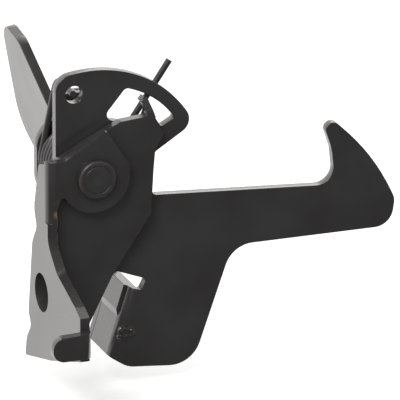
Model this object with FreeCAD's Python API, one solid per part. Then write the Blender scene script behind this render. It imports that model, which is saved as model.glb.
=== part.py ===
import FreeCAD, Part
import math
import os

# Sprung hook latch, as used as a safety catch on a vehicle bonnet. All lengths are in millimetres.
# X runs along the hook arm, Y runs back through the stacked plates, Z is up. Each piece is drawn with the
# pivot axis as its Y axis and the hook plate's front face at Y = 0. The finished pieces are then moved
# together, so that the origin is in the middle of the bolt hole.

# Sheet, wire and rivet
SHEET = 3.0
WIRE_DIA = 2.0
SHANK_RADIUS = 4.0
PIVOT_HOLE_RADIUS = 4.05
RIVET_HEAD_RADIUS = 5.9
RIVET_HEAD_HEIGHT = 2.2
RIVET_RING_OUTER = 4.6
RIVET_RING_INNER = 4.1
RIVET_RING_DEPTH = 0.2
BOLT_HOLE_RADIUS = 6.0
GAP = 0.05

# Stack along the pivot axis, from the hook plate's front face at Y = 0
THRUST_WASHER = 0.3
EAR_SPACER = 0.6
WASHER_RADIUS = 7.5
HOOK_BACK = SHEET
STOP_BACK = -THRUST_WASHER - GAP
STOP_FRONT = STOP_BACK - SHEET
EAR_BACK = STOP_FRONT - EAR_SPACER
EAR_FRONT = EAR_BACK - SHEET

# Torsion spring
COIL_RADIUS = 9.3
COIL_PITCH = 2.1
FULL_TURNS = 6
BEND_RADIUS = 3.0
LEG_OFFSET = 5.27
LEG_ANGLE = 55.5
LEG_LENGTH = 34.8
ANCHOR = (-4.3, 24.7)
ANCHOR_HOLE_RADIUS = 2.75
ANCHOR_END = 0.9
JOINT_SWELL = 1.03

# Crescent slot and the stop finger that runs in it
FINGER_ANGLE = 49.5
FINGER_RADIUS = 27.15
FINGER_WIDTH = 2.2
FINGER_DEPTH = 1.8
FINGER_END = 1.2
FINGER_LEAN = 20.0
FINGER_FOOT = 14.9
SLOT_INNER_RADIUS = 25.9
SLOT_OUTER_CENTRE = (4.7, -2.1)
SLOT_OUTER_RADIUS = 28.0

# Mounting plate, which faces -X
PLATE_OUTER = -15.3
PLATE_INNER = PLATE_OUTER + SHEET
BOLT_HOLE = (-1.1, -36.7)
COLLAR_RADIUS = 7.6
COLLAR_HEIGHT = 2.0
EAR_RADIUS = 11.0
EAR_ARC_END = -145.0
EAR_TOP = 6.3
EAR_FOOT = -10.5

# Web that is bent back from the hook's lobe: upper and lower end of its bend line
WEB_TOP = (13.4, -39.3)
WEB_BOTTOM = (6.6, -60.7)
WEB_STEP = 1.1
WEB_UPPER_SHARE = 0.36
WEB_STEP_SHARE = 0.10
NOTCH_REACH = 3.8

# Thumb blade: its plane leans towards -X as it rises, and its foot lies behind the rear plate's neck
BLADE_ROOT = (-5.2, 12.8)
BLADE_LEAN = 12.0
NECK_TOP = 19.0
FOOT_TOP = NECK_TOP - 0.5
FOOT_DROP = 5.0

# Rivet stack behind the lever
REAR_WASHER = 1.2
BUSH_RADIUS = 7.0

# Bends and welds
BEND_ROUNDING = 2.6
CUT_MARGIN = 0.2
BEAD_RADIUS = 1.6
BRACKET_BEADS = ((-12.0, -15.0), (-17.5, -21.0))
WEB_BEAD = (0.55, 0.9)
BLADE_BEADS = (-0.5, 3.4)
BLADE_BEAD_LENGTH = 1.8

# Locating tab at the foot of the mounting plate
TAB_FRONT = -39.0
TAB_BACK = TAB_FRONT + SHEET
TAB_TOP = -37.0
TAB_HEIGHT = 8.0
TAB_LENGTH = 9.5

Vec = FreeCAD.Vector


def unit(angle_deg):
    """Unit direction in a plane, as (cosine, sine)."""
    angle = math.radians(angle_deg)
    return math.cos(angle), math.sin(angle)


def arc_corner(centre, radius, start_deg, end_deg):
    """Corner whose rounding is the arc about centre from one angle to the other."""
    middle = (start_deg + end_deg) / 2
    reach = radius / math.cos(math.radians(end_deg - start_deg) / 2)
    across, along = unit(middle)
    return centre[0] + reach * across, centre[1] + reach * along, radius


def past_arc(radius, end_deg, distance):
    """Point a given distance past the end of a clockwise arc about the pivot, on its tangent."""
    across, along = unit(end_deg)
    return radius * across + distance * along, radius * along - distance * across


def rounded_face(corners, place):
    """Flat face with straight sides and rounded corners (u, v, radius); place turns (u, v) into a point."""
    turns = []
    for index, (u, v, radius) in enumerate(corners):
        before = corners[index - 1]
        after = corners[(index + 1) % len(corners)]
        here = Vec(u, v, 0)
        back = (Vec(before[0], before[1], 0) - here).normalize()
        ahead = (Vec(after[0], after[1], 0) - here).normalize()
        if radius == 0:
            turns.append((here, here, here))
            continue
        half = back.getAngle(ahead) / 2
        middle = (back + ahead).normalize()
        start = here + back * (radius / math.tan(half))
        end = here + ahead * (radius / math.tan(half))
        crown = here + middle * (radius / math.sin(half) - radius)
        turns.append((start, crown, end))
    edges = []
    for index, (start, crown, end) in enumerate(turns):
        previous_end = turns[index - 1][2]
        if previous_end.distanceToPoint(start) > 1e-6:
            side = Part.LineSegment(place(previous_end.x, previous_end.y), place(start.x, start.y))
            edges.append(side.toShape())
        if start.distanceToPoint(end) > 1e-6:
            arc = Part.Arc(place(start.x, start.y), place(crown.x, crown.y), place(end.x, end.y))
            edges.append(arc.toShape())
    return Part.Face(Part.Wire(Part.__sortEdges__(edges)))


def upright_sheet(corners, front, back):
    """Sheet that stands square to the pivot axis, with its outline in X and Z."""
    face = rounded_face(corners, lambda u, v: Vec(u, front, v))
    return face.extrude(Vec(0, back - front, 0))


def side_sheet(corners, left, right):
    """Sheet that stands square to the X axis, with its outline in Y and Z."""
    face = rounded_face(corners, lambda u, v: Vec(left, u, v))
    return face.extrude(Vec(right - left, 0, 0))


def rod(radius, front, back, x=0.0, z=0.0):
    """Round bar along the pivot direction."""
    return Part.makeCylinder(radius, back - front, Vec(x, front, z), Vec(0, 1, 0))


def ring(outer, inner, front, back):
    """Washer or sleeve about the pivot axis."""
    return rod(outer, front, back).cut(rod(inner, front - 1, back + 1))


def round_edges(shape, radius, wanted):
    """Round the edges for which wanted(edge) is true."""
    edges = [edge for edge in shape.Edges if wanted(edge)]
    return shape.makeFillet(radius, edges)


def bend_cutter(start, end, inwards, back):
    """Material outside the round outer corner of a bend that runs from start to end."""
    run = (end - start).normalize()
    first = start - run * BEND_ROUNDING
    length = start.distanceToPoint(end) + 2 * BEND_ROUNDING
    side = inwards * BEND_ROUNDING
    depth = back * BEND_ROUNDING
    centre = first + side + depth
    corners = [
        first - (side + depth) * CUT_MARGIN,
        first + side - depth * CUT_MARGIN,
        centre,
        first + depth - side * CUT_MARGIN,
    ]
    block = Part.Face(Part.makePolygon(corners + corners[:1])).extrude(run * length)
    return block.cut(Part.makeCylinder(BEND_ROUNDING, length, centre, run))


def slot_cutter():
    """Crescent slot: narrow and round the pivot on the right, wider on the left."""
    corners = [
        (4.6, 15.8, 2.0),
        (12.2, 24.9, 1.6),
        arc_corner(SLOT_OUTER_CENTRE, SLOT_OUTER_RADIUS, 72, 37),
        (27.8, 13.7, 0.8),
        (23.4, 11.2, 0.8),
        arc_corner((0, 0), SLOT_INNER_RADIUS, 28, 41),
        (18.9, 17.75, 0.6),
        (17.2, 13.2, 0.8),
        (11.5, 14.2, 2.0),
    ]
    return upright_sheet(corners, -1, HOOK_BACK + 1)


def web_line(share, offset):
    """Point on the web's outer face: a share of the way down the bend line, moved outwards by offset."""
    run = Vec(WEB_BOTTOM[0] - WEB_TOP[0], WEB_BOTTOM[1] - WEB_TOP[1], 0)
    outwards = Vec(run.y, -run.x, 0).normalize()
    point = Vec(WEB_TOP[0], WEB_TOP[1], 0) + run * share + outwards * offset
    return point.x, point.y


def web_corners():
    """Cross-section of the web: the two ends of its outer face, then of its inner face."""
    return [(*web_line(share, offset), 0) for share, offset in ((0, 0), (1, 0), (1, -SHEET), (0, -SHEET))]


def web_joggle(rear_front):
    """Upper part of the web, pressed outwards, with a slope down to the lower part."""
    joggle_end = WEB_UPPER_SHARE + WEB_STEP_SHARE
    shares = [(0, -1.0), (0, WEB_STEP), (WEB_UPPER_SHARE, WEB_STEP), (joggle_end, 0), (joggle_end, -1.0)]
    corners = [(*web_line(share, offset), 0) for share, offset in shares]
    return upright_sheet(corners, BEND_ROUNDING, rear_front)


def hook_plate():
    """Flat hook: head, neck, arm with its upturned hook, and lobe."""
    corners = [
        (-10.2, -10.0, 6.0),
        (-10.2, 30.55, 5.5),
        arc_corner((2.3, -4.6), 36.4, 97, 36),
        (34.3, 11.4, 4.5),
        (21.6, 3.4, 1.0),
        (20.4, -10.3, 1.6),
        (79.5, -14.2, 5.2),
        (78.3, -2.5, 12.0),
        (76.0, 4.4, 2.2),
        (79.1, 6.3, 2.2),
        (91.8, -5.9, 70.0),
        (98.9, -21.0, 5.0),
        (97.6, -29.7, 6.0),
        (46.4, -29.7, 9.0),
        (33.4, -66.6, 9.5),
        (12.6, -64.7, 8.0),
        (*WEB_BOTTOM, 0),
        (*WEB_TOP, 0),
        (*web_line(0, -NOTCH_REACH), 0.7),
        (18.6, -37.0, 0.9),
        (-4.5, -28.1, 4.0),
    ]
    return upright_sheet(corners, 0, HOOK_BACK)


def hook_lever(rear_front):
    """Hook plate with its slot and holes, and the web that is bent back from the lobe."""
    lever = hook_plate().fuse(upright_sheet(web_corners(), 0, rear_front)).removeSplitter()
    into_web = Vec(web_line(0, -1)[0] - WEB_TOP[0], 0, web_line(0, -1)[1] - WEB_TOP[1])
    bend_start = Vec(WEB_TOP[0], 0, WEB_TOP[1])
    bend_end = Vec(WEB_BOTTOM[0], 0, WEB_BOTTOM[1])
    lever = lever.cut(bend_cutter(bend_start, bend_end, into_web, Vec(0, 1, 0)))
    lever = lever.fuse(web_joggle(rear_front)).removeSplitter()
    lever = lever.cut(slot_cutter())
    lever = lever.cut(rod(PIVOT_HOLE_RADIUS, -1, HOOK_BACK + 1))
    return lever.cut(rod(ANCHOR_HOLE_RADIUS, -1, HOOK_BACK + 1, *ANCHOR))


def stop_plate():
    """Fixed cheek plate with a long tail, and a finger that reaches into the crescent slot."""
    corners = [
        (PLATE_INNER, 4.6, 0),
        (3.0, 12.6, 3.0),
        (9.4, 15.6, 3.0),
        (19.3, 16.4, 0.6),
        (23.2, 10.2, 1.0),
        (20.2, 5.0, 2.5),
        (19.0, -14.9, 4.0),
        (7.4, -31.7, 40.0),
        (-1.2, -48.6, 1.2),
        (-4.0, -48.0, 1.2),
        (-6.0, -37.0, 6.0),
        (PLATE_INNER, -24.0, 0),
    ]
    plate = upright_sheet(corners, STOP_FRONT, STOP_BACK).fuse(stop_finger()).removeSplitter()
    return plate.cut(rod(PIVOT_HOLE_RADIUS, STOP_FRONT - 1, STOP_BACK + 1))


def stop_finger():
    """Stem that rises from the stop plate's corner and leans, ending in a pin that reaches into the slot."""
    across, up = unit(FINGER_ANGLE)
    centre = Vec(FINGER_RADIUS * across, 0, FINGER_RADIUS * up)
    pin_front = STOP_FRONT / 2
    pin = Part.makeBox(FINGER_DEPTH, FINGER_END - pin_front, FINGER_WIDTH)
    pin.translate(Vec(-FINGER_DEPTH / 2, pin_front, -FINGER_WIDTH / 2))
    pin.rotate(Vec(0, 0, 0), Vec(0, 1, 0), -FINGER_ANGLE)
    pin.translate(centre)
    stem_top = centre.z + FINGER_DEPTH / 2
    stem_corners = [
        (STOP_FRONT, FINGER_FOOT, 0),
        (STOP_FRONT, FINGER_FOOT + 2.5, 1.5),
        (pin_front, stem_top, 0.6),
        (STOP_BACK, stem_top, 0),
        (STOP_BACK, FINGER_FOOT, 0),
    ]
    stem = side_sheet(stem_corners, centre.x - FINGER_WIDTH / 2, centre.x + FINGER_WIDTH / 2)
    stem.rotate(centre, Vec(0, 1, 0), -FINGER_LEAN)
    return pin.fuse(stem)


def mounting_bracket():
    """Mounting plate with its collared bolt hole and locating tab, and the ear that carries the rivet."""
    ear_corners = [
        (PLATE_OUTER, EAR_TOP, 0),
        (-9.7, EAR_TOP, 3.0),
        (3.6, 14.6, 0.9),
        (EAR_RADIUS, 2.9, 4.0),
        arc_corner((0, 0), EAR_RADIUS, 0, EAR_ARC_END),
        (*past_arc(EAR_RADIUS, EAR_ARC_END, 2.5), 0.8),
        (-12.9, EAR_FOOT, 0),
        (PLATE_OUTER, EAR_FOOT, 0),
    ]
    ear = upright_sheet(ear_corners, EAR_FRONT, EAR_BACK)
    plate_corners = [
        (EAR_FRONT, EAR_TOP, 0),
        (1.2, 3.6, 2.0),
        (5.6, -12.0, 6.0),
        (2.9, -17.0, 3.0),
        (7.2, -23.0, 6.0),
        (10.9, -47.0, 3.0),
        (8.4, -50.6, 2.5),
        (12.6, -55.6, 6.0),
        (14.0, -62.0, 0.8),
        (-9.5, -55.7, 20.0),
        (TAB_BACK, -46.8, 0),
        (TAB_BACK, -33.0, 0),
        (-31.5, -31.0, 4.0),
        (-15.0, -25.9, 8.0),
        (EAR_FRONT, -19.0, 6.0),
    ]
    plate = side_sheet(plate_corners, PLATE_OUTER, PLATE_INNER)
    bolt_axis = Vec(1, 0, 0)
    collar = Part.makeCylinder(COLLAR_RADIUS, SHEET + COLLAR_HEIGHT, Vec(PLATE_OUTER, *BOLT_HOLE), bolt_axis)
    bracket = ear.fuse([plate, locating_tab(), collar]).removeSplitter()
    ear_foot = Vec(PLATE_OUTER, EAR_FRONT, EAR_FOOT)
    ear_head = Vec(PLATE_OUTER, EAR_FRONT, EAR_TOP)
    ear_bend = bend_cutter(ear_foot, ear_head, Vec(1, 0, 0), Vec(0, 1, 0))
    tab_foot = Vec(PLATE_INNER, TAB_FRONT, TAB_TOP - TAB_HEIGHT)
    tab_head = Vec(PLATE_INNER, TAB_FRONT, TAB_TOP)
    tab_bend = bend_cutter(tab_foot, tab_head, Vec(-1, 0, 0), Vec(0, 1, 0))
    bracket = bracket.cut(ear_bend).cut(tab_bend)
    bracket = bracket.cut(rod(PIVOT_HOLE_RADIUS, EAR_FRONT - 1, EAR_BACK + 1))
    bolt_start = Vec(PLATE_OUTER - SHEET, *BOLT_HOLE)
    bolt_hole = Part.makeCylinder(BOLT_HOLE_RADIUS, 4 * SHEET, bolt_start, bolt_axis)
    return bracket.cut(bolt_hole)


def locating_tab():
    """Tab bent outwards from the foot of the mounting plate, with a rounded free end."""
    corners = [
        (PLATE_INNER, TAB_TOP, 0),
        (PLATE_INNER, TAB_TOP - TAB_HEIGHT, 0),
        (PLATE_OUTER - TAB_LENGTH, TAB_TOP - TAB_HEIGHT, 3.6),
        (PLATE_OUTER - TAB_LENGTH, TAB_TOP - 0.6, 3.6),
    ]
    return upright_sheet(corners, TAB_FRONT, TAB_BACK)


def weld_bead(start, end, radius):
    """Straight bead with round ends."""
    run = end - start
    bead = Part.makeCylinder(radius, run.Length, start, run)
    for point in (start, end):
        bead = bead.fuse(Part.makeSphere(radius, point))
    return bead.removeSplitter()


def bracket_welds(bracket, cheek):
    """Two beads along the corner between the stop plate's front face and the mounting plate."""
    beads = []
    for top, bottom in BRACKET_BEADS:
        start = Vec(PLATE_INNER, STOP_FRONT, top)
        end = Vec(PLATE_INNER, STOP_FRONT, bottom)
        beads.append(weld_bead(start, end, BEAD_RADIUS).cut(bracket).cut(cheek))
    return Part.makeCompound(beads)


def rear_plate(front, back):
    """Rear plate of the lever: round about the pivot, with a strap down to the web and a neck above."""
    corners = [
        (-10.3, -8.5, 8.0),
        (-10.3, 6.0, 8.0),
        (-4.6, 12.0, 1.0),
        (-4.6, NECK_TOP, 1.0),
        (8.5, NECK_TOP, 4.0),
        (11.5, 2.0, 10.0),
        (13.0, -26.0, 12.0),
        (15.6, -40.0, 4.0),
        (15.2, -47.0, 4.0),
        (18.0, -62.6, 2.0),
        (9.0, -62.6, 1.5),
        (*WEB_BOTTOM, 0),
        (*WEB_TOP, 0),
        (4.0, -30.0, 14.0),
    ]
    plate = upright_sheet(corners, front, back)
    return plate.cut(rod(PIVOT_HOLE_RADIUS, front - 1, back + 1))


def web_welds(web_back, lever, plate):
    """Bead in the corner between the web's inner face and the rear plate."""
    top = web_line(WEB_BEAD[0], -SHEET)
    bottom = web_line(WEB_BEAD[1], -SHEET)
    start = Vec(top[0], web_back, top[1])
    end = Vec(bottom[0], web_back, bottom[1])
    return weld_bead(start, end, BEAD_RADIUS).cut(lever).cut(plate)


def thumb_blade(front):
    """Foot that lies on the back of the rear plate's neck, and the leaf-shaped blade bent back from it."""
    lean_across, lean_up = unit(90 + BLADE_LEAN)
    outline = [
        (-FOOT_DROP, front, 0),
        (0.8, front, 0),
        (17.5, 38.0, 7.0),
        (20.0, 52.5, 7.0),
        (6.0, 54.5, 20.0),
        (-15.0, 57.0, 12.0),
        (-24.0, 43.0, 9.0),
        (-11.0, 27.0, 9.0),
        (-FOOT_DROP, front + SHEET + 1.0, 1.0),
    ]

    def on_blade(rise, depth):
        return Vec(BLADE_ROOT[0] + lean_across * rise, depth, BLADE_ROOT[1] + lean_up * rise)

    blade = rounded_face(outline, on_blade).extrude(Vec(lean_up, 0, -lean_across) * SHEET)
    root_x = BLADE_ROOT[0] - lean_across * FOOT_DROP
    root_z = BLADE_ROOT[1] - lean_up * FOOT_DROP
    foot_corners = [
        (root_x, root_z, 0),
        (BLADE_ROOT[0] + lean_across * 0.8, BLADE_ROOT[1] + lean_up * 0.8, 0),
        (BLADE_ROOT[0] + 2 * SHEET, FOOT_TOP, 1.0),
        (7.8, FOOT_TOP, 3.0),
        (9.0, root_z, 2.0),
    ]
    foot = upright_sheet(foot_corners, front, front + SHEET)
    return blade.fuse(foot).removeSplitter()


def blade_welds(front, plate, blade):
    """Beads along the foot's top edge, holding the blade to the rear plate."""
    beads = []
    for start_x in BLADE_BEADS:
        start = Vec(start_x, front, FOOT_TOP)
        end = Vec(start_x + BLADE_BEAD_LENGTH, front, FOOT_TOP)
        beads.append(weld_bead(start, end, BEAD_RADIUS / 2).cut(plate).cut(blade))
    return Part.makeCompound(beads)


def spring_layout():
    """Places of the spring's bends and coil in the X-Z plane, and the depth of its two ends."""
    leg_x, leg_z = unit(LEG_ANGLE)
    side = Vec(leg_z, -leg_x, 0)
    along = Vec(leg_x, leg_z, 0)
    reach = math.sqrt((COIL_RADIUS + BEND_RADIUS) ** 2 - (LEG_OFFSET + BEND_RADIUS) ** 2)
    bend_centre = side * (LEG_OFFSET + BEND_RADIUS) + along * reach
    coil_end = math.degrees(math.atan2(bend_centre.y, bend_centre.x))
    anchor_angle = math.degrees(math.atan2(ANCHOR[1], ANCHOR[0]))
    anchor_reach = math.hypot(*ANCHOR)
    coil_start = anchor_angle + math.degrees(math.acos(COIL_RADIUS / anchor_reach))
    turns = FULL_TURNS - (coil_start - coil_end) / 360
    return bend_centre, side, along, coil_start, turns


def spring_rear():
    """Depth of the wire's centre at the rear end of the coil."""
    turns = spring_layout()[4]
    return HOOK_BACK + GAP + WIRE_DIA / 2 + turns * COIL_PITCH


def wire_along(edges, start, direction):
    """Round wire swept along a smooth run of edges."""
    profile = Part.Wire(Part.makeCircle(WIRE_DIA / 2, start, direction))
    return Part.Wire(edges).makePipeShell([profile], True, True)


def spring_coil(rear, front, coil_start, turns):
    """Coil whose axis is the pivot axis, wound forwards from its rear end."""
    helix = Part.makeHelix(COIL_PITCH, rear - front, COIL_RADIUS)
    helix.rotate(Vec(0, 0, 0), Vec(0, 0, 1), coil_start)
    helix.rotate(Vec(0, 0, 0), Vec(1, 0, 0), 90)
    helix.translate(Vec(0, rear, 0))
    across, up = unit(coil_start)
    rise = COIL_PITCH / (2 * math.pi * COIL_RADIUS)
    return wire_along(helix.Edges, Vec(COIL_RADIUS * across, rear, COIL_RADIUS * up), Vec(-up, -rise, across))


def anchor_leg(rear, coil_start):
    """Leg from the rear end of the coil up to the hook's head, then forward into the anchor hole."""
    across, up = unit(coil_start)
    coil_first = Vec(COIL_RADIUS * across, rear, COIL_RADIUS * up)
    tip = Vec(ANCHOR[0], ANCHOR_END, ANCHOR[1])
    elbow = Vec(ANCHOR[0], rear, ANCHOR[1])
    inwards = (coil_first - elbow).normalize()
    forward = Vec(0, -1, 0)
    centre = elbow + (inwards + forward) * BEND_RADIUS
    crown = centre - (inwards + forward).normalize() * BEND_RADIUS
    edges = [
        Part.LineSegment(tip, elbow + forward * BEND_RADIUS).toShape(),
        Part.Arc(elbow + forward * BEND_RADIUS, crown, elbow + inwards * BEND_RADIUS).toShape(),
        Part.LineSegment(elbow + inwards * BEND_RADIUS, coil_first).toShape(),
    ]
    return wire_along(edges, tip, forward), coil_first


def free_leg(front, bend_centre, side, along):
    """Leg that bends outwards from the front end of the coil and ends in a plain cut end."""
    centre = Vec(bend_centre.x, front, bend_centre.y)
    to_coil = Vec(-bend_centre.x, 0, -bend_centre.y).normalize()
    to_leg = Vec(-side.x, 0, -side.y)
    outwards = Vec(along.x, 0, along.y)
    coil_last = centre + to_coil * BEND_RADIUS
    leg_start = centre + to_leg * BEND_RADIUS
    crown = centre + (to_coil + to_leg).normalize() * BEND_RADIUS
    edges = [
        Part.Arc(coil_last, crown, leg_start).toShape(),
        Part.LineSegment(leg_start, leg_start + outwards * (LEG_LENGTH - BEND_RADIUS)).toShape(),
    ]
    start_direction = Vec(to_coil.z, 0, -to_coil.x)
    return wire_along(edges, coil_last, start_direction), coil_last


def torsion_spring():
    """Close-wound spring: its rear end reaches forward into the anchor hole and its front end is free."""
    bend_centre, side, along, coil_start, turns = spring_layout()
    front = HOOK_BACK + GAP + WIRE_DIA / 2
    rear = spring_rear()
    coil = spring_coil(rear, front, coil_start, turns)
    rear_leg, rear_joint = anchor_leg(rear, coil_start)
    front_leg, front_joint = free_leg(front, bend_centre, side, along)
    spring = coil.fuse([rear_leg, front_leg])
    for joint in (rear_joint, front_joint):
        spring = spring.fuse(Part.makeSphere(WIRE_DIA / 2 * JOINT_SWELL, joint))
    return spring


def pivot_rivet(back):
    """Rivet with a low front head, ringed by a shallow groove, and a formed rear head."""
    shank = rod(SHANK_RADIUS, EAR_FRONT - 1, back + 1)
    head_front = EAR_FRONT - RIVET_HEAD_HEIGHT
    front_head = rod(RIVET_HEAD_RADIUS, head_front, EAR_FRONT)
    front_head = round_edges(front_head, 0.7, lambda edge: is_rim(edge, head_front))
    groove = ring(RIVET_RING_OUTER, RIVET_RING_INNER, head_front - 1, head_front + RIVET_RING_DEPTH)
    front_head = front_head.cut(groove)
    rear_head = rod(RIVET_HEAD_RADIUS, back, back + RIVET_HEAD_HEIGHT)
    rear_head = round_edges(rear_head, 1.2, lambda edge: is_rim(edge, back + RIVET_HEAD_HEIGHT))
    return shank.fuse(front_head).fuse(rear_head).removeSplitter()


def is_rim(edge, depth):
    """True for a circular edge at the given depth."""
    return len(edge.Vertexes) == 1 and abs(edge.Vertexes[0].Y - depth) < 0.01


def build():
    """Every sub-part, by the name of its node."""
    rear_front = spring_rear() + WIRE_DIA / 2 + GAP
    rear_back = rear_front + SHEET
    washer_back = rear_back + GAP + REAR_WASHER
    bracket = mounting_bracket()
    cheek = stop_plate()
    lever = hook_lever(rear_front)
    plate = rear_plate(rear_front, rear_back)
    blade = thumb_blade(rear_back)
    return {
        "mounting_bracket": bracket,
        "stop_plate": cheek,
        "bracket_welds": bracket_welds(bracket, cheek),
        "ear_spacer": ring(WASHER_RADIUS, PIVOT_HOLE_RADIUS, EAR_BACK, STOP_FRONT),
        "pivot_rivet": pivot_rivet(washer_back),
        "rear_washer": ring(WASHER_RADIUS - 0.5, PIVOT_HOLE_RADIUS, rear_back + GAP, washer_back),
        "thrust_washer": ring(WASHER_RADIUS, PIVOT_HOLE_RADIUS, STOP_BACK, STOP_BACK + THRUST_WASHER),
        "hook_lever": lever,
        "rear_plate": plate,
        "web_welds": web_welds(rear_front, lever, plate),
        "thumb_blade": blade,
        "blade_welds": blade_welds(rear_back, plate, blade),
        "torsion_spring": torsion_spring(),
        "spring_bush": ring(BUSH_RADIUS, PIVOT_HOLE_RADIUS, HOOK_BACK, rear_front),
    }


os.makedirs("parts", exist_ok=True)
bore_middle = Vec(PLATE_OUTER + (SHEET + COLLAR_HEIGHT) / 2, *BOLT_HOLE)
for node, shape in build().items():
    shape.translate(-bore_middle)
    shape.exportStep("parts/" + node + ".step")
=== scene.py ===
import math

import bmesh
import bpy
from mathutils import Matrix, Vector, noise


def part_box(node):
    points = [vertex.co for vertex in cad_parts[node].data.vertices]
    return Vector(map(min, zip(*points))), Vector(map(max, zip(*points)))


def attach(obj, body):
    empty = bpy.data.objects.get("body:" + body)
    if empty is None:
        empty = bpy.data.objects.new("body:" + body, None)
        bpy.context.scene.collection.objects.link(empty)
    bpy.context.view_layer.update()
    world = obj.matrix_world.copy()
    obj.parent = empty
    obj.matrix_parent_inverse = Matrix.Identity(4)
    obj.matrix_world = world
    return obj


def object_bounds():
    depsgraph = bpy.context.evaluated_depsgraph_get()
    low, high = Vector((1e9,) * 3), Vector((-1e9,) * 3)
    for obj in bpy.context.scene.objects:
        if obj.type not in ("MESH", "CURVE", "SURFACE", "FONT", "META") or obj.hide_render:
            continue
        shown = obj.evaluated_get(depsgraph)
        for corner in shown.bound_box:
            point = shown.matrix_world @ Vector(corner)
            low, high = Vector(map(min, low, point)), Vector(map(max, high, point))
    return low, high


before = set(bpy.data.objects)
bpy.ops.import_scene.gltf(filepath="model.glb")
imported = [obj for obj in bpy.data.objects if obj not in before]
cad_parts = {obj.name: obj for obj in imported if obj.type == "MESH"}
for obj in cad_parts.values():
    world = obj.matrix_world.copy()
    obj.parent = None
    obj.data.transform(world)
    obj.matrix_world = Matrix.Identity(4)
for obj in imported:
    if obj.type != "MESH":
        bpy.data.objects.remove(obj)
cad_low, cad_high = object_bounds()

MM = 0.001

# Camera: the direction it looks from, and how far the aim is from the rivet's front face
CAMERA_AZIMUTH = math.radians(-20)
CAMERA_ELEVATION = math.radians(20)
CAMERA_LENS = 1200.0
SENSOR = 36.0
CAMERA_REACH = 100.0
PICTURE_WIDTH = 120 * MM
AIM_RIGHT = 30.6 * MM
AIM_DOWN = 5.85 * MM

# Thickness of the pressed sheets
SHEET = 3 * MM

# Rounding of sheared sheet edges and of small turned parts, and clean-up of the meshes before it
SHEET_EDGE = 0.28 * MM
SMALL_EDGE = 0.12 * MM
WASHER_EDGE = 0.05 * MM
EDGE_SEGMENTS = 3
EDGE_ANGLE = math.radians(32)
MERGE_GAP = 0.002 * MM
FLAT_ANGLE = math.radians(0.6)

# Paint and metal: reflection, clear top coat, and the colours of heat and rust marks
PAINT_IOR = 1.75
METAL_IOR = 1.7
COAT_ROUGHNESS = 0.16
WARM_HIGHLIGHT = (1.0, 0.945, 0.94, 1.0)
TAN = (0.20, 0.125, 0.055)
BROWN = (0.075, 0.042, 0.026)

# Tool rings on the rivet's head: radians of wave per metre of radius, so about 0.7 mm apart
RING_WAVE = 9000.0

# Lumps of the web's weld: offset along X, offset along Z and radius, in mm, from the bead's high corner
NUGGET_LUMPS = ((-3.0, -2.3, 1.7), (-1.2, -2.7, 2.1), (-3.2, -4.3, 1.6))
NUGGET_DEPTH = 0.25 * MM
NUGGET_VOXEL = 0.12 * MM

# Brightness of the studio behind and in front of the object, as reflections see it
STUDIO_BEHIND = 1.3
STUDIO_FRONT = 0.07
STUDIO_FILL = 0.6
STUDIO_TURN = (-0.35, 0.45)
FLOOR_HALF = 3.0
FLOOR_GAP = 5 * MM
FLOOR_GLOW = 0.42


# ---------------------------------------------------------------- node helpers

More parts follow.
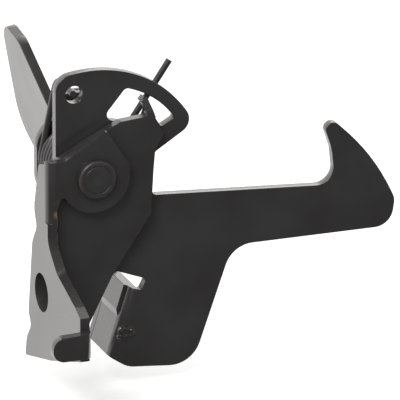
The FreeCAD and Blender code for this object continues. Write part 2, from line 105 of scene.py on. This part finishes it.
class Nodes:
    """Short names for building a material's node tree."""

    def __init__(self, name):
        self.material = bpy.data.materials.new(name)
        self.material.use_nodes = True
        self.tree = self.material.node_tree
        self.shader = self.tree.nodes["Principled BSDF"]
        self.place = self.add("ShaderNodeTexCoord").outputs["Object"]

    def add(self, kind, **settings):
        node = self.tree.nodes.new(kind)
        for key, value in settings.items():
            setattr(node, key, value)
        return node

    def link(self, source, target):
        self.tree.links.new(source, target)

    def noise(self, scale, detail=3.0, roughness=0.5, stretch=(1, 1, 1)):
        mapping = self.add("ShaderNodeMapping")
        mapping.inputs["Scale"].default_value = stretch
        self.link(self.place, mapping.inputs["Vector"])
        texture = self.add("ShaderNodeTexNoise")
        texture.inputs["Scale"].default_value = scale
        texture.inputs["Detail"].default_value = detail
        texture.inputs["Roughness"].default_value = roughness
        self.link(mapping.outputs["Vector"], texture.inputs["Vector"])
        return texture.outputs["Fac"]

    def ramp(self, value, low, high, start=0.0, end=1.0):
        node = self.add("ShaderNodeMapRange")
        node.interpolation_type = "SMOOTHSTEP"
        node.inputs["From Min"].default_value = low
        node.inputs["From Max"].default_value = high
        node.inputs["To Min"].default_value = start
        node.inputs["To Max"].default_value = end
        self.link(value, node.inputs["Value"])
        return node.outputs["Result"]

    def math(self, operation, first, second):
        node = self.add("ShaderNodeMath", operation=operation)
        for socket, value in zip(node.inputs, (first, second)):
            if isinstance(value, (int, float)):
                socket.default_value = value
            else:
                self.link(value, socket)
        return node.outputs["Value"]

    def mix(self, factor, first, second):
        node = self.add("ShaderNodeMix", data_type="RGBA")
        self.link(factor, node.inputs["Factor"])
        for socket, colour in ((node.inputs["A"], first), (node.inputs["B"], second)):
            if isinstance(colour, tuple):
                socket.default_value = (*colour, 1.0)
            else:
                self.link(colour, socket)
        return node.outputs["Result"]

    def near(self, point, radius):
        """Mask that is 1 at a point of the object and fades to 0 at the radius."""
        gap = self.add("ShaderNodeVectorMath", operation="DISTANCE")
        self.link(self.place, gap.inputs[0])
        gap.inputs[1].default_value = point
        return self.ramp(gap.outputs["Value"], 0.35 * radius, radius, 1.0, 0.0)

    def edges(self, radius):
        """Mask that is 1 on worn outer edges and 0 on flat faces."""
        bevel = self.add("ShaderNodeBevel", samples=4)
        bevel.inputs["Radius"].default_value = radius
        geometry = self.add("ShaderNodeNewGeometry")
        turn = self.add("ShaderNodeVectorMath", operation="DOT_PRODUCT")
        self.link(bevel.outputs["Normal"], turn.inputs[0])
        self.link(geometry.outputs["Normal"], turn.inputs[1])
        return self.ramp(turn.outputs["Value"], 0.80, 0.985, 1.0, 0.0)

    def facing(self, axis):
        """How squarely the surface faces along an axis, in either direction, from 0 to 1."""
        geometry = self.add("ShaderNodeNewGeometry")
        turn = self.add("ShaderNodeVectorMath", operation="DOT_PRODUCT")
        self.link(geometry.outputs["True Normal"], turn.inputs[0])
        turn.inputs[1].default_value = axis
        return self.math("ABSOLUTE", turn.outputs["Value"], 0.0)

    def bump(self, height, strength, distance, normal=None):
        node = self.add("ShaderNodeBump")
        node.inputs["Strength"].default_value = strength
        node.inputs["Distance"].default_value = distance
        self.link(height, node.inputs["Height"])
        if normal is not None:
            self.link(normal, node.inputs["Normal"])
        return node.outputs["Normal"]

    def finish(self, colour, roughness, normal, metallic=0.0, ior=1.5, coat=0.0):
        self.link(colour, self.shader.inputs["Base Color"])
        self.link(roughness, self.shader.inputs["Roughness"])
        self.link(normal, self.shader.inputs["Normal"])
        if isinstance(metallic, (int, float)):
            self.shader.inputs["Metallic"].default_value = metallic
        else:
            self.link(metallic, self.shader.inputs["Metallic"])
        self.shader.inputs["IOR"].default_value = ior
        self.shader.inputs["Specular Tint"].default_value = WARM_HIGHLIGHT
        self.shader.inputs["Coat Weight"].default_value = coat
        self.shader.inputs["Coat Roughness"].default_value = COAT_ROUGHNESS
        return self.material


# ---------------------------------------------------------------- materials

def sheared_edges(nodes, sheet_axis, before_x):
    """Mask of a sheet's sheared edges: faces that don't face along sheet_axis, as far as before_x."""
    edge = nodes.ramp(nodes.facing(sheet_axis), 0.3, 0.7, 1.0, 0.0)
    if before_x is None:
        return edge
    split = nodes.add("ShaderNodeSeparateXYZ")
    nodes.link(nodes.place, split.inputs["Vector"])
    return nodes.math("MULTIPLY", edge, nodes.math("LESS_THAN", split.outputs["X"], before_x))


def black_paint(name, sheet_axis, before_x=None, stains=()):
    """Dip-coated gloss black over sheet steel: orange peel, soft patches, dust, rough sheared edges, wear."""
    nodes = Nodes(name)
    sheared = sheared_edges(nodes, sheet_axis, before_x)
    along_sheet = tuple(0.2 if part else 1.0 for part in sheet_axis)
    torn = nodes.math("MULTIPLY", sheared, nodes.noise(1500, detail=4, roughness=0.65, stretch=along_sheet))
    patches = nodes.noise(45, detail=4)
    specks = nodes.noise(2600, detail=2)
    peel = nodes.noise(900, detail=2)
    rolled = nodes.noise(260, detail=3, stretch=(1, 1, 6))
    colour = nodes.mix(nodes.ramp(patches, 0.3, 0.7), (0.027, 0.0258, 0.0256), (0.036, 0.0352, 0.0355))
    dust = nodes.math("MULTIPLY", nodes.ramp(specks, 0.66, 0.78), nodes.ramp(patches, 0.45, 0.7))
    colour = nodes.mix(nodes.math("MULTIPLY", dust, 0.5), colour, (0.10, 0.098, 0.094))
    worn = nodes.math("MULTIPLY", nodes.edges(0.35 * MM), nodes.ramp(nodes.noise(520, detail=4), 0.50, 0.66))
    colour = nodes.mix(nodes.math("MULTIPLY", worn, 0.55), colour, (0.085, 0.082, 0.080))
    for point, radius, tint in stains:
        blotch = nodes.ramp(nodes.noise(420, detail=3), 0.36, 0.62)
        mask = nodes.math("MULTIPLY", nodes.near(point, radius), blotch)
        colour = nodes.mix(nodes.math("MULTIPLY", mask, 0.85), colour, tint)
    sheen = nodes.ramp(patches, 0.25, 0.75, 0.24, 0.34)
    roughness = nodes.math("ADD", sheen, nodes.math("MULTIPLY", worn, 0.18))
    normal = nodes.bump(rolled, 0.06, 0.05 * MM)
    normal = nodes.bump(peel, 0.14, 0.03 * MM, normal)
    normal = nodes.bump(torn, 0.55, 0.10 * MM, normal)
    return nodes.finish(colour, roughness, normal, ior=PAINT_IOR, coat=0.35)


def black_wire(name):
    """Oiled black spring wire with drawing lines along it and rubbed crests."""
    nodes = Nodes(name)
    patches = nodes.noise(120, detail=4)
    drawn = nodes.noise(900, detail=3, stretch=(1, 5, 1))
    rubbed = nodes.ramp(nodes.noise(420, detail=4), 0.50, 0.68)
    colour = nodes.mix(patches, (0.020, 0.020, 0.021), (0.040, 0.039, 0.040))
    colour = nodes.mix(nodes.math("MULTIPLY", rubbed, 0.35), colour, (0.11, 0.11, 0.115))
    roughness = nodes.ramp(patches, 0.3, 0.7, 0.26, 0.40)
    normal = nodes.bump(drawn, 0.18, 0.03 * MM)
    metallic = nodes.ramp(rubbed, 0.2, 0.8, 0.1, 0.45)
    return nodes.finish(colour, roughness, normal, metallic=metallic, ior=METAL_IOR)


def black_rivet(name, stains=()):
    """Painted rivet: faint tool rings on its head, brown where the paint is thin."""
    nodes = Nodes(name)
    flat = nodes.add("ShaderNodeVectorMath", operation="MULTIPLY")
    nodes.link(nodes.place, flat.inputs[0])
    flat.inputs[1].default_value = (1, 0, 1)
    reach = nodes.add("ShaderNodeVectorMath", operation="LENGTH")
    nodes.link(flat.outputs["Vector"], reach.inputs[0])
    rings = nodes.math("SINE", nodes.math("MULTIPLY", reach.outputs["Value"], RING_WAVE), 0.0)
    patches = nodes.noise(300, detail=4)
    colour = nodes.mix(patches, (0.026, 0.025, 0.025), (0.038, 0.037, 0.037))
    for point, radius, tint in stains:
        mask = nodes.math("MULTIPLY", nodes.near(point, radius), nodes.ramp(patches, 0.42, 0.60))
        colour = nodes.mix(nodes.math("MULTIPLY", mask, 0.6), colour, tint)
    roughness = nodes.ramp(patches, 0.3, 0.7, 0.36, 0.50)
    normal = nodes.bump(rings, 0.04, 0.02 * MM)
    normal = nodes.bump(nodes.noise(1300, detail=3), 0.16, 0.03 * MM, normal)
    return nodes.finish(colour, roughness, normal, ior=METAL_IOR, coat=0.2)


def zinc_steel(name):
    """Plated steel with fine grinding lines and duller patches."""
    nodes = Nodes(name)
    patches = nodes.noise(240, detail=5)
    lines = nodes.noise(1500, detail=2, stretch=(1, 1, 9))
    colour = nodes.mix(patches, (0.22, 0.22, 0.225), (0.40, 0.40, 0.395))
    roughness = nodes.ramp(patches, 0.3, 0.7, 0.30, 0.48)
    normal = nodes.bump(lines, 0.2, 0.02 * MM)
    return nodes.finish(colour, roughness, normal, metallic=0.9)


def weld_paint(name):
    """Paint over a weld: glossier, with ripples and faint brown heat marks."""
    nodes = Nodes(name)
    ripples = nodes.noise(1400, detail=3)
    scorched = nodes.ramp(nodes.noise(900, detail=4), 0.46, 0.60)
    colour = nodes.mix(scorched, (0.022, 0.021, 0.020), (0.042, 0.034, 0.027))
    roughness = nodes.ramp(ripples, 0.3, 0.7, 0.16, 0.30)
    normal = nodes.bump(ripples, 0.35, 0.10 * MM)
    return nodes.finish(colour, roughness, normal, ior=PAINT_IOR, coat=0.3)


# ---------------------------------------------------------------- CAD nodes

def middle(node):
    low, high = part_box(node)
    return (Vector(low) + Vector(high)) / 2


def dress(node, material, edge):
    """Give a CAD node its material, round its sharp edges and smooth its round faces."""
    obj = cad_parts[node]
    if not obj.material_slots:
        obj.data.materials.append(material)
    for material_slot in obj.material_slots:
        material_slot.material = material
    weld = obj.modifiers.new("weld", "WELD")
    weld.merge_threshold = MERGE_GAP
    flat = obj.modifiers.new("flat", "DECIMATE")
    flat.decimate_type = "DISSOLVE"
    flat.angle_limit = FLAT_ANGLE
    if edge:
        bevel = obj.modifiers.new("edge", "BEVEL")
        bevel.width = edge
        bevel.segments = EDGE_SEGMENTS
        bevel.limit_method = "ANGLE"
        bevel.angle_limit = EDGE_ANGLE
        bevel.use_clamp_overlap = True
        bevel.harden_normals = True


def dress_nodes():
    """Materials and edge rounding for every CAD node, with marks round the rivet and the bracket's welds."""
    pivot = middle("pivot_rivet")
    sheet_inner_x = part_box("stop_plate")[0][0]
    ear_front_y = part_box("ear_spacer")[0][1] - SHEET
    weld_spot = middle("bracket_welds")
    upper_mark = Vector((sheet_inner_x - 0.2 * MM, ear_front_y, pivot.z - 6.2 * MM))
    lower_mark = Vector((sheet_inner_x + 0.4 * MM, ear_front_y + 0.3 * MM, weld_spot.z + 6.2 * MM))
    bracket_stains = [(upper_mark, 1.5 * MM, BROWN), (lower_mark, 1.9 * MM, TAN)]
    rim = Vector((pivot.x - 4.2 * MM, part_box("pivot_rivet")[0][1], pivot.z - 0.6 * MM))
    paint = black_paint("black_paint", (0, 1, 0))
    stained = black_paint("black_paint_bracket", (1, 0, 0), sheet_inner_x + 0.1 * MM, bracket_stains)
    dress("mounting_bracket", stained, SHEET_EDGE)
    for node in ("stop_plate", "hook_lever", "rear_plate", "thumb_blade"):
        dress(node, paint, SHEET_EDGE)
    dress("pivot_rivet", black_rivet("black_rivet", [(rim, 3.4 * MM, BROWN)]), SMALL_EDGE)
    dress("torsion_spring", black_wire("black_wire"), 0)
    zinc = zinc_steel("zinc_steel")
    for node in ("ear_spacer", "rear_washer", "thrust_washer", "spring_bush"):
        dress(node, zinc, WASHER_EDGE)
    beads = weld_paint("weld_paint")
    for node in ("bracket_welds", "web_welds", "blade_welds"):
        dress(node, beads, 0)
    web_nugget(beads)


def web_nugget(material):
    """Lump of weld where the pressed upper part of the web ends, on the hook plate's front corner."""
    beads_high = Vector(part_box("web_welds")[1])
    hook_front_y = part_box("hook_lever")[0][1]
    shape = bmesh.new()
    for across, up, size in NUGGET_LUMPS:
        centre = beads_high + Vector((across, 0, up)) * MM
        centre.y = hook_front_y + NUGGET_DEPTH
        ball = bmesh.ops.create_icosphere(shape, subdivisions=5, radius=1.0)
        for vert in ball["verts"]:
            swell = 1 + 0.24 * noise.noise(vert.co * 2.1 + centre * 900) + 0.08 * noise.noise(vert.co * 6.1)
            vert.co = Vector((vert.co.x, vert.co.y * 0.62, vert.co.z * 0.85)) * swell * size * MM + centre
    mesh = bpy.data.meshes.new("web_nugget")
    shape.to_mesh(mesh)
    shape.free()
    mesh.materials.append(material)
    nugget = bpy.data.objects.new("web_nugget", mesh)
    bpy.context.scene.collection.objects.link(nugget)
    blend = nugget.modifiers.new("blend", "REMESH")
    blend.mode = "VOXEL"
    blend.voxel_size = NUGGET_VOXEL
    blend.use_smooth_shade = True
    soften = nugget.modifiers.new("soften", "SMOOTH")
    soften.iterations = 4
    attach(nugget, "hook")


# ---------------------------------------------------------------- studio

def studio_world():
    """Pale studio: bright behind the object, darker behind the camera, white to the camera itself."""
    world = bpy.data.worlds.new("studio")
    bpy.context.scene.world = world
    world.use_nodes = True
    tree = world.node_tree
    tree.nodes.clear()
    add = tree.nodes.new
    place = add("ShaderNodeTexCoord")
    split = add("ShaderNodeSeparateXYZ")
    tree.links.new(place.outputs["Generated"], split.inputs["Vector"])
    depth = add("ShaderNodeMapRange")
    depth.interpolation_type = "SMOOTHSTEP"
    depth.inputs["From Min"].default_value = STUDIO_TURN[0]
    depth.inputs["From Max"].default_value = STUDIO_TURN[1]
    depth.inputs["To Min"].default_value = STUDIO_FRONT
    depth.inputs["To Max"].default_value = STUDIO_BEHIND
    tree.links.new(split.outputs["Y"], depth.inputs["Value"])
    path = add("ShaderNodeLightPath")
    fill = add("ShaderNodeMix")
    fill.inputs["B"].default_value = STUDIO_FILL
    tree.links.new(path.outputs["Is Diffuse Ray"], fill.inputs["Factor"])
    tree.links.new(depth.outputs["Result"], fill.inputs["A"])
    seen = add("ShaderNodeMix")
    seen.inputs["B"].default_value = 1.0
    tree.links.new(path.outputs["Is Camera Ray"], seen.inputs["Factor"])
    tree.links.new(fill.outputs["Result"], seen.inputs["A"])
    background = add("ShaderNodeBackground")
    background.inputs["Color"].default_value = (1.0, 0.995, 0.99, 1.0)
    tree.links.new(seen.outputs["Result"], background.inputs["Strength"])
    output = add("ShaderNodeOutputWorld")
    tree.links.new(background.outputs["Background"], output.inputs["Surface"])


def pale_floor():
    """Plain pale floor just below the object."""
    mesh = bpy.data.meshes.new("floor")
    shape = bmesh.new()
    level = cad_low.z - FLOOR_GAP
    corners = ((-1, -1), (1, -1), (1, 1), (-1, 1))
    shape.faces.new([shape.verts.new((x * FLOOR_HALF, y * FLOOR_HALF, level)) for x, y in corners])
    shape.to_mesh(mesh)
    shape.free()
    floor = bpy.data.objects.new("floor", mesh)
    bpy.context.scene.collection.objects.link(floor)
    nodes = Nodes("pale_floor")
    shade = nodes.mix(nodes.noise(3, detail=2), (0.86, 0.86, 0.855), (0.88, 0.88, 0.875))
    rough = nodes.ramp(nodes.noise(40), 0.3, 0.7, 0.75, 0.85)
    nodes.finish(shade, rough, nodes.bump(nodes.noise(300), 0.05, 0.1 * MM))
    nodes.shader.inputs["Emission Color"].default_value = (1.0, 1.0, 1.0, 1.0)
    nodes.shader.inputs["Emission Strength"].default_value = FLOOR_GLOW
    mesh.materials.append(nodes.material)
    floor.visible_glossy = False
    floor.visible_diffuse = False


def softbox(name, direction, distance, size, power):
    """Square area light that faces the object."""
    data = bpy.data.lights.new(name, "AREA")
    data.shape = "SQUARE"
    data.size = size
    data.energy = power
    light = bpy.data.objects.new(name, data)
    centre = (cad_low + cad_high) / 2
    light.location = centre + Vector(direction).normalized() * distance
    light.rotation_euler = (centre - light.location).to_track_quat("-Z", "Y").to_euler()
    bpy.context.scene.collection.objects.link(light)


def camera():
    """Long-lens camera, aimed to the right of the rivet's front face and below it."""
    back = Vector((
        math.sin(CAMERA_AZIMUTH) * math.cos(CAMERA_ELEVATION),
        -math.cos(CAMERA_AZIMUTH) * math.cos(CAMERA_ELEVATION),
        math.sin(CAMERA_ELEVATION),
    ))
    turn = (-back).to_track_quat("-Z", "Y")
    rivet_face = middle("pivot_rivet")
    rivet_face.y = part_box("pivot_rivet")[0][1]
    target = rivet_face + turn @ Vector((AIM_RIGHT, -AIM_DOWN, 0))
    data = bpy.data.cameras.new("camera")
    data.lens = CAMERA_LENS
    data.sensor_width = SENSOR
    distance = PICTURE_WIDTH * CAMERA_LENS / SENSOR
    data.clip_end = CAMERA_REACH
    eye = bpy.data.objects.new("camera", data)
    eye.rotation_mode = "QUATERNION"
    eye.rotation_quaternion = turn
    eye.location = target + back * distance
    bpy.context.scene.collection.objects.link(eye)
    bpy.context.scene.camera = eye


dress_nodes()
studio_world()
pale_floor()
softbox("key_light", direction=(-0.8, -0.9, 1.1), distance=0.9, size=0.35, power=4.5)
softbox("rim_light", direction=(0.7, 0.9, 0.9), distance=0.9, size=0.6, power=2.0)
camera()
bpy.context.scene.view_settings.view_transform = "Standard"
